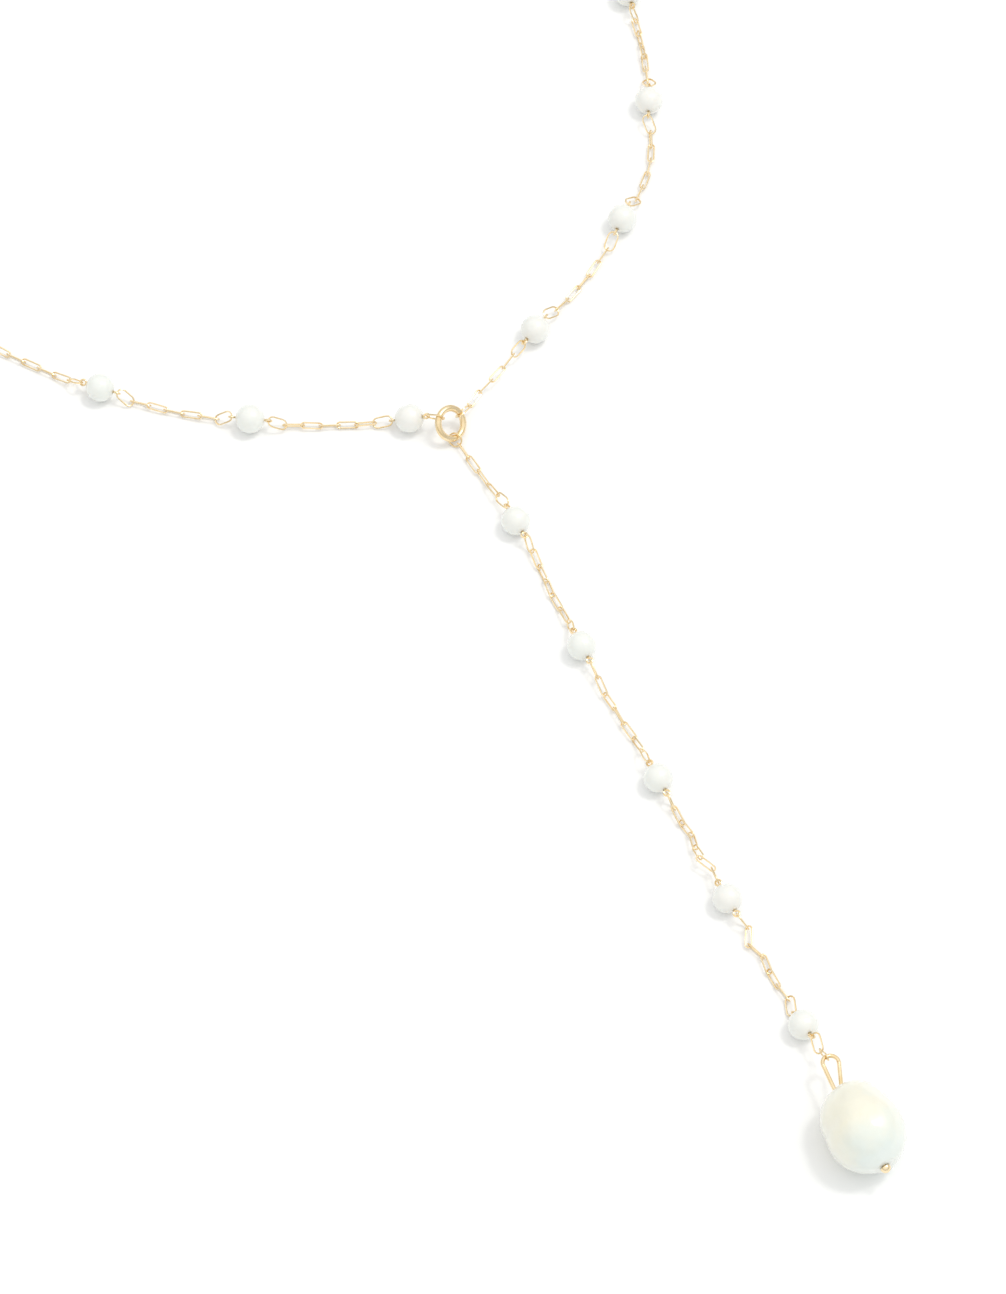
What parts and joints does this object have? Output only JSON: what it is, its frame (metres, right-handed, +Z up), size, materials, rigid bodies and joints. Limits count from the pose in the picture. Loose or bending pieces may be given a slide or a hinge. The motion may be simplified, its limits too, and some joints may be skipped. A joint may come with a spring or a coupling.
{
  "type": "lariat necklace",
  "caption": "Gold pearl station chain that closes in a loop through a small ring, with a short tail that ends in one large baroque drop pearl; shown lying flat.",
  "frame": {"origin": "middle of the neck loop, on the surface that the necklace lies on", "axes": "+Z up from that surface, +Y from the drop towards the far side of the neck loop, +X to the right"},
  "size_m": [0.1648, 0.2426, 0.0102],
  "materials": {
    "gold": "polished",
    "pearl": "pearly",
    "drop_pearl": "pearly"
  },
  "bodies": {
    "root": {"lariat_ring": "gold", "tail_jump_ring": "gold", "right_chain": "gold", "left_chain": "gold", "tail_chain": "gold", "right_pins": "gold", "left_pins": "gold", "tail_pins": "gold", "clasp": "gold", "clasp_ring": "gold", "drop_pin": "gold", "right_pearl_1": "pearl", "right_pearl_2": "pearl", "right_pearl_3": "pearl", "right_pearl_4": "pearl", "right_pearl_5": "pearl", "right_pearl_6": "pearl", "right_pearl_7": "pearl", "right_pearl_8": "pearl", "right_pearl_9": "pearl", "left_pearl_1": "pearl", "left_pearl_2": "pearl", "left_pearl_3": "pearl", "left_pearl_4": "pearl", "left_pearl_5": "pearl", "left_pearl_6": "pearl", "left_pearl_7": "pearl", "left_pearl_8": "pearl", "left_pearl_9": "pearl", "tail_pearl_1": "pearl", "tail_pearl_2": "pearl", "tail_pearl_3": "pearl", "tail_pearl_4": "pearl", "tail_pearl_5": "pearl", "drop_pearl": "drop_pearl"}
  },
  "joints": []
}
